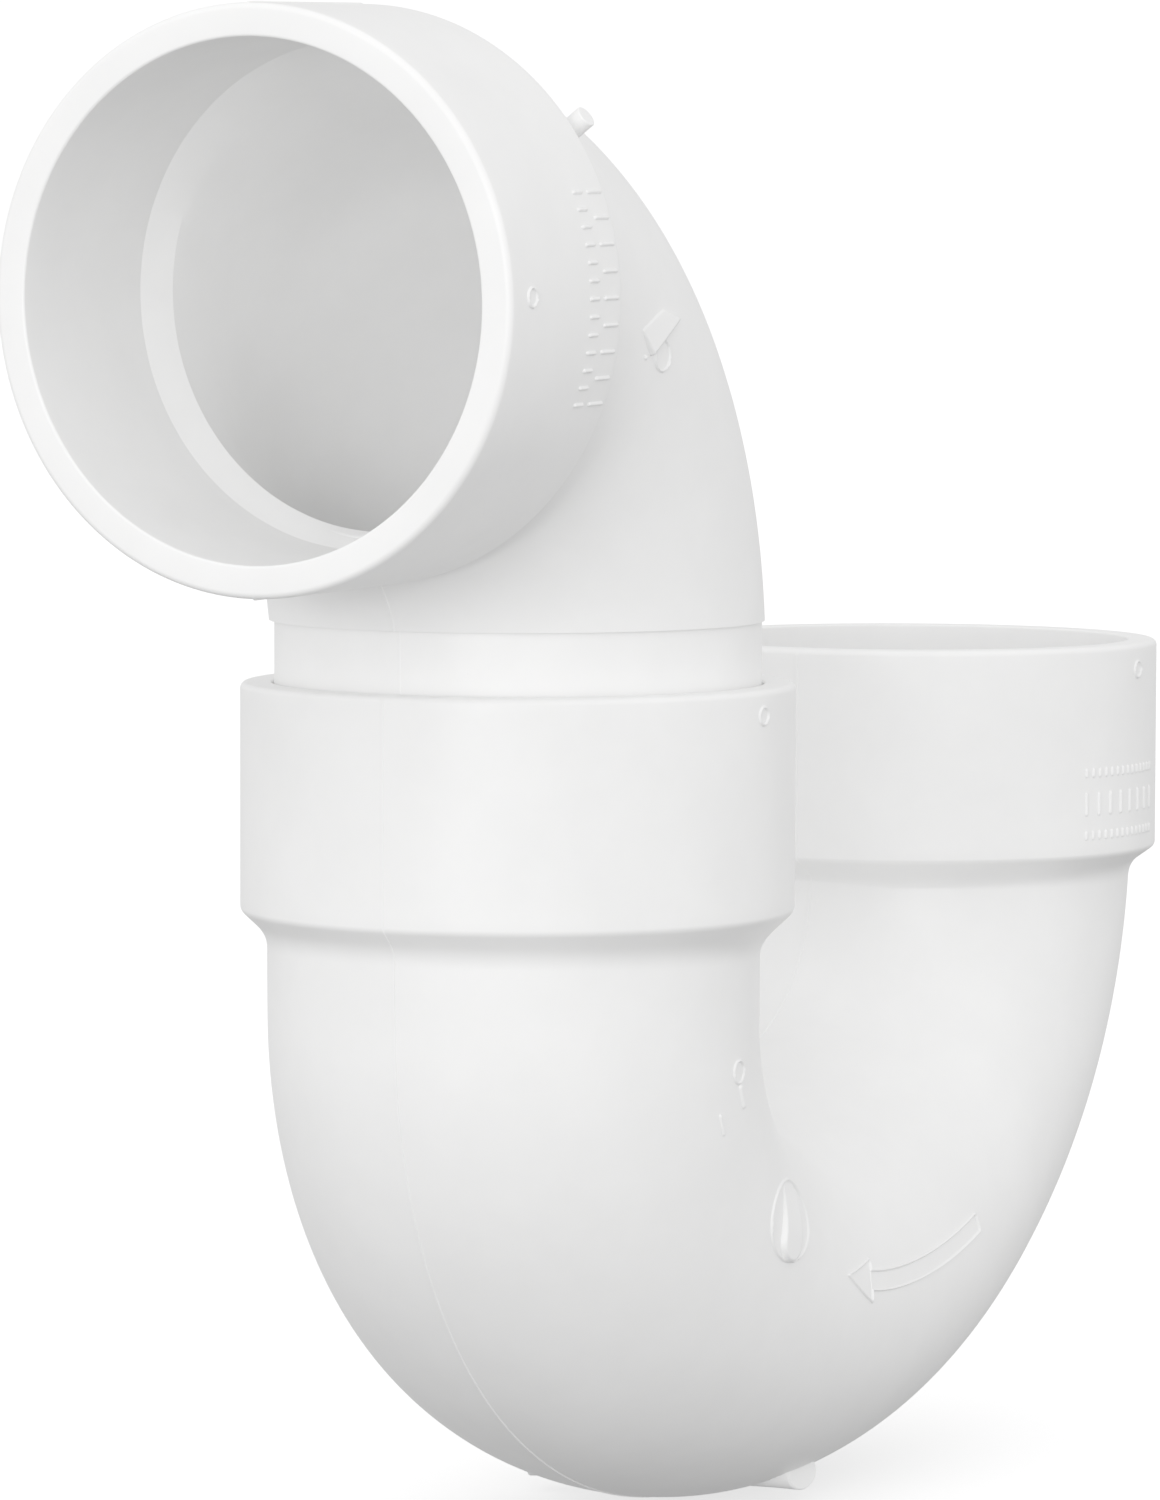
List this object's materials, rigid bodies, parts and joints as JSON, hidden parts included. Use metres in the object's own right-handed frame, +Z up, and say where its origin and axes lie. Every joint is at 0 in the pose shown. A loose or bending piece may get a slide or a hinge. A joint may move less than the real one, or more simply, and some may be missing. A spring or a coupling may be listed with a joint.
{
  "type": "drain p trap",
  "caption": "P trap for drain pipe: a return bend with a socket on each leg, and a street elbow whose spigot turns and slides in the outlet-side socket.",
  "frame": {"origin": "centre of the inlet socket's pipe stop", "axes": "+Z up, out of the inlet socket; the outlet socket points towards -X; both mouldings share the plane Y = 0"},
  "size_m": [0.3154, 0.1012, 0.2809],
  "materials": {
    "bend_pvc": "white moulded PVC, semi-gloss",
    "elbow_pvc": "white moulded PVC, semi-gloss"
  },
  "bodies": {
    "return_bend": {"u_bend": "bend_pvc"},
    "outlet_elbow": {"street_elbow": "elbow_pvc"}
  },
  "joints": [
    {"name": "elbow_swivel", "type": "hinge", "parent": "return_bend", "child": "outlet_elbow", "pos_m": [-0.1664, 0, 0.0381], "axis": [0, 0, 1], "continuous": true}
  ]
}
